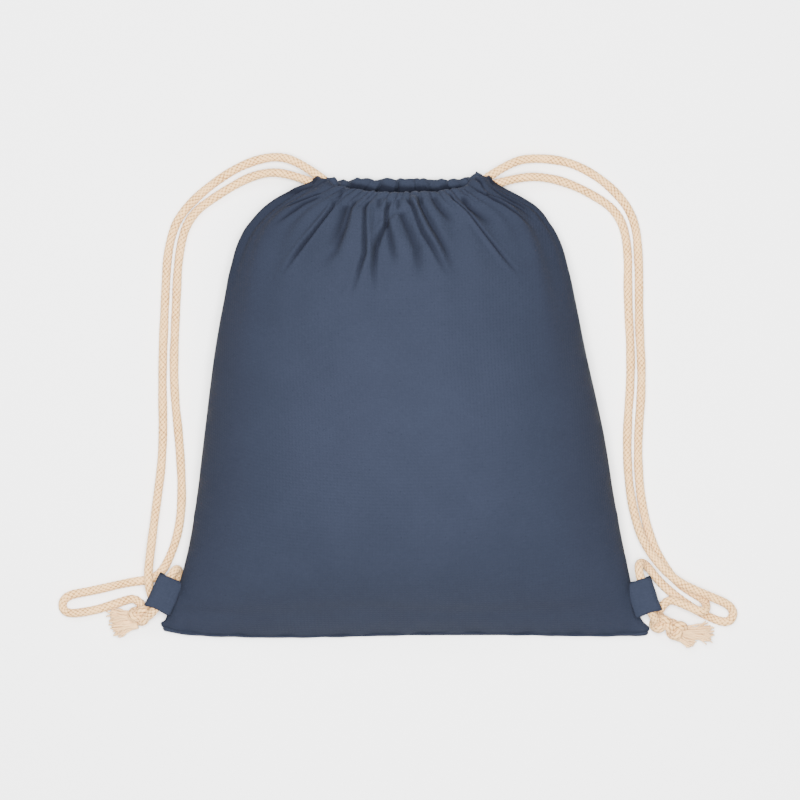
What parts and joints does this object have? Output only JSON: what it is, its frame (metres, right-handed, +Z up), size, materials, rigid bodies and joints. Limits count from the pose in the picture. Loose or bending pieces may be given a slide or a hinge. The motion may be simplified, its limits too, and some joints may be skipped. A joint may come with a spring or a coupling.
{
  "type": "drawstring backpack",
  "caption": "Cotton drawstring backpack lying on its back, gathered mouth, corner tabs and two braided cord shoulder straps.",
  "frame": {"origin": "on the floor under the middle of the bag, measured without the free cords", "axes": "+X to the right of the bag as seen from above with its mouth at the far end, +Y towards the mouth, +Z up away from the floor the back lies on"},
  "size_m": [0.5268, 0.3851, 0.0947],
  "materials": {
    "navy_cotton": "matte plain weave",
    "sewing_thread": "matte thread",
    "natural_cord": "matte round braid"
  },
  "bodies": {
    "bag": {"back_hem": "navy_cotton", "back_hem_stitching": "sewing_thread", "back_panel": "navy_cotton", "bottom_seam": "navy_cotton", "front_hem_left_end": "navy_cotton", "front_hem_right_end": "navy_cotton", "front_panel": "navy_cotton", "left_cord_in_back_hem": "natural_cord", "left_cord_in_front_hem_left_end": "natural_cord", "left_cord_in_front_hem_right_end": "natural_cord", "left_cord_turn": "natural_cord", "left_floor_loop": "natural_cord", "left_knot": "natural_cord", "left_side_seam": "navy_cotton", "left_tab": "navy_cotton", "left_tab_run": "natural_cord", "left_tab_stitching": "sewing_thread", "left_tail_1": "natural_cord", "left_tail_2": "natural_cord", "right_cord_in_back_hem": "natural_cord", "right_cord_in_front_hem_left_end": "natural_cord", "right_cord_in_front_hem_right_end": "natural_cord", "right_cord_turn": "natural_cord", "right_floor_loop": "natural_cord", "right_knot": "natural_cord", "right_side_seam": "navy_cotton", "right_tab": "navy_cotton", "right_tab_run": "natural_cord", "right_tab_stitching": "sewing_thread", "right_tail_1": "natural_cord", "right_tail_2": "natural_cord"},
    "mouth_front": {"front_hem": "navy_cotton", "front_hem_stitching": "sewing_thread", "left_cord_in_front_hem": "natural_cord", "right_cord_in_front_hem": "natural_cord"},
    "left_strap": {"left_front_strand": "natural_cord", "left_back_strand": "natural_cord"},
    "right_strap": {"right_front_strand": "natural_cord", "right_back_strand": "natural_cord"}
  },
  "joints": [
    {"name": "mouth_open", "type": "hinge", "parent": "bag", "child": "mouth_front", "pos_m": [0.00175, 0.06, 0.075], "axis": [1, 0, 0], "range_deg": [0, 18]},
    {"name": "left_strap_swing", "type": "hinge", "parent": "bag", "child": "left_strap", "pos_m": [-0.0643, 0.1759, 0.014], "axis": [0.3695, 0.9287, 0.0304], "range_deg": [0, 60]},
    {"name": "right_strap_swing", "type": "hinge", "parent": "bag", "child": "right_strap", "pos_m": [0.0682, 0.1759, 0.014], "axis": [0.3894, -0.9205, -0.032], "range_deg": [0, 60]}
  ]
}
